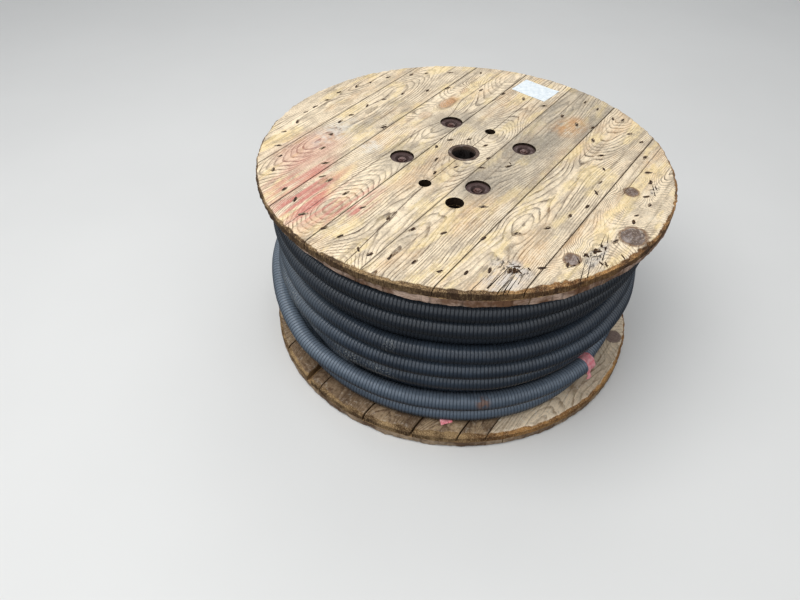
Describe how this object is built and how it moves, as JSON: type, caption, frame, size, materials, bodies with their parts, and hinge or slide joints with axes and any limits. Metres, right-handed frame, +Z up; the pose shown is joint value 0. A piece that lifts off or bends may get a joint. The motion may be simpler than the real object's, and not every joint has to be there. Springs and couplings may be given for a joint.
{
  "type": "cable drum",
  "caption": "Wooden cable drum lying on its flange, full of ribbed armoured cable, with nailed board flanges and a steel-lined shaft hole.",
  "frame": {"origin": "centre of the lower flange's outer face, on the floor", "axes": "+Z up along the drum's axis, -Y towards the picture's camera, boards of the upper flange 61.5 degrees from +X"},
  "size_m": [1.0668, 1.0668, 0.546],
  "materials": {
    "pale_pine": "weathered sawn pine",
    "brown_pine": "weathered sawn pine, browner",
    "barrel_pine": "sawn pine",
    "rusty_steel": "dull, rust-stained pressed steel",
    "bolt_steel": "dull steel",
    "cable_jacket": "matt blue-grey jacket",
    "pink_cap": "matt pink tape"
  },
  "bodies": {
    "root": {"barrel_stave_01": "barrel_pine", "barrel_stave_02": "barrel_pine", "barrel_stave_03": "barrel_pine", "barrel_stave_04": "barrel_pine", "barrel_stave_05": "barrel_pine", "barrel_stave_06": "barrel_pine", "barrel_stave_07": "barrel_pine", "barrel_stave_08": "barrel_pine", "barrel_stave_09": "barrel_pine", "barrel_stave_10": "barrel_pine", "barrel_stave_11": "barrel_pine", "barrel_stave_12": "barrel_pine", "barrel_stave_13": "barrel_pine", "barrel_stave_14": "barrel_pine", "bottom_bushing": "rusty_steel", "bottom_cup_washers": "rusty_steel", "bottom_inner_board_1": "brown_pine", "bottom_inner_board_2": "brown_pine", "bottom_inner_board_3": "brown_pine", "bottom_inner_board_4": "brown_pine", "bottom_inner_board_5": "brown_pine", "bottom_inner_board_6": "brown_pine", "bottom_inner_board_7": "brown_pine", "bottom_inner_board_8": "brown_pine", "bottom_inner_board_9": "brown_pine", "bottom_outer_board_1": "brown_pine", "bottom_outer_board_2": "brown_pine", "bottom_outer_board_3": "brown_pine", "bottom_outer_board_4": "brown_pine", "bottom_outer_board_5": "brown_pine", "bottom_outer_board_6": "brown_pine", "bottom_outer_board_7": "brown_pine", "cable_end_cap": "pink_cap", "cable_winding": "cable_jacket", "tie_bolt_1": "bolt_steel", "tie_bolt_2": "bolt_steel", "tie_bolt_3": "bolt_steel", "tie_bolt_4": "bolt_steel", "tie_nut_1": "bolt_steel", "tie_nut_2": "bolt_steel", "tie_nut_3": "bolt_steel", "tie_nut_4": "bolt_steel", "top_bushing": "rusty_steel", "top_cup_washers": "rusty_steel", "top_inner_board_1": "brown_pine", "top_inner_board_2": "brown_pine", "top_inner_board_3": "brown_pine", "top_inner_board_4": "brown_pine", "top_inner_board_5": "brown_pine", "top_inner_board_6": "brown_pine", "top_inner_board_7": "brown_pine", "top_outer_board_1": "pale_pine", "top_outer_board_2": "pale_pine", "top_outer_board_3": "pale_pine", "top_outer_board_4": "pale_pine", "top_outer_board_5": "pale_pine", "top_outer_board_6": "pale_pine", "top_outer_board_7": "pale_pine"}
  },
  "joints": []
}
